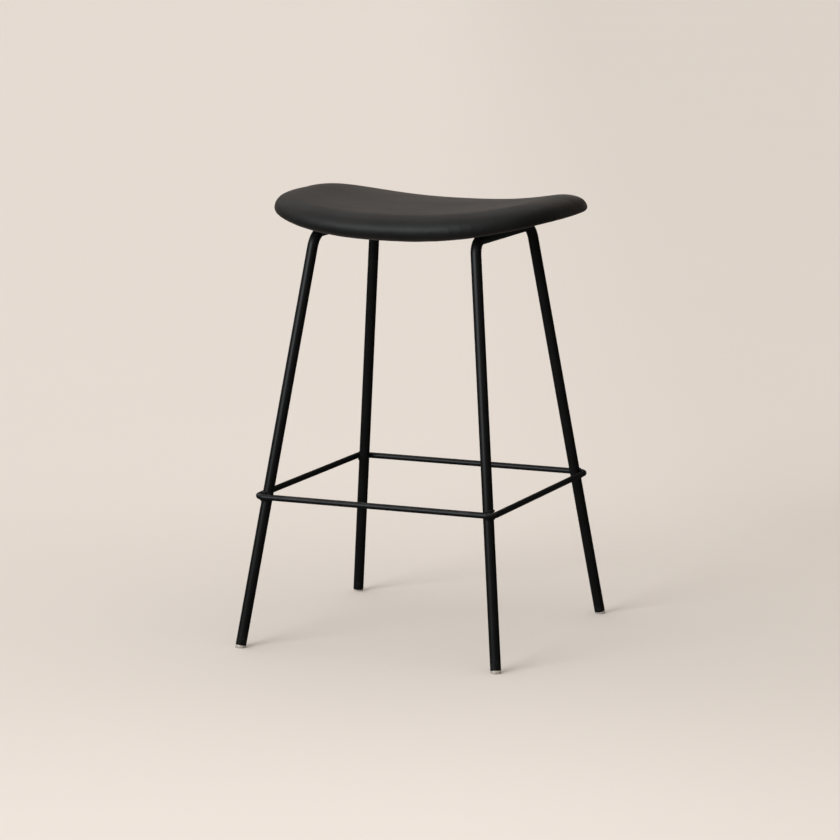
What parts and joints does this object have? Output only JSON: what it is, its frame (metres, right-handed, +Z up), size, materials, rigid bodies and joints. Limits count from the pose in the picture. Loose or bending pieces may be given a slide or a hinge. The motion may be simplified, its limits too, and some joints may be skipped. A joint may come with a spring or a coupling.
{
  "type": "bar stool with footrest",
  "caption": "Backless bar stool with a padded black leather saddle seat on splayed bent-tube leg frames, tied by a round-rod footrest ring.",
  "frame": {"origin": "on the floor, midway between the four feet", "axes": "+Z up, +X to the right along the seat's long side, -Y to the front"},
  "size_m": [0.4586, 0.4438, 0.6676],
  "materials": {
    "powder_coat": "satin black powder coat on steel",
    "leather": "smooth matte black leather",
    "foam": "open-cell seat foam, out of sight",
    "shell": "moulded, out of sight",
    "underside": "matte black panel",
    "glide": "clear nylon, slightly scuffed",
    "rubber": "matte black rubber",
    "screw_steel": "blackened steel",
    "brass": "plain turned brass"
  },
  "bodies": {
    "root": {"left_leg_frame": "powder_coat", "right_leg_frame": "powder_coat", "footrest_ring": "powder_coat", "front_cross_bar": "powder_coat", "back_cross_bar": "powder_coat", "seat_leather": "leather", "seat_foam": "foam", "seat_shell": "shell", "underside_pan": "underside", "footrest_weld_front_left": "powder_coat", "bar_weld_front_left": "powder_coat", "foot_glide_front_left": "glide", "seat_screw_front_left": "screw_steel", "screw_washer_front_left": "screw_steel", "seat_spacer_front_left": "rubber", "threaded_insert_front_left": "brass", "footrest_weld_front_right": "powder_coat", "bar_weld_front_right": "powder_coat", "foot_glide_front_right": "glide", "seat_screw_front_right": "screw_steel", "screw_washer_front_right": "screw_steel", "seat_spacer_front_right": "rubber", "threaded_insert_front_right": "brass", "footrest_weld_back_left": "powder_coat", "bar_weld_back_left": "powder_coat", "foot_glide_back_left": "glide", "seat_screw_back_left": "screw_steel", "screw_washer_back_left": "screw_steel", "seat_spacer_back_left": "rubber", "threaded_insert_back_left": "brass", "footrest_weld_back_right": "powder_coat", "bar_weld_back_right": "powder_coat", "foot_glide_back_right": "glide", "seat_screw_back_right": "screw_steel", "screw_washer_back_right": "screw_steel", "seat_spacer_back_right": "rubber", "threaded_insert_back_right": "brass"}
  },
  "joints": []
}
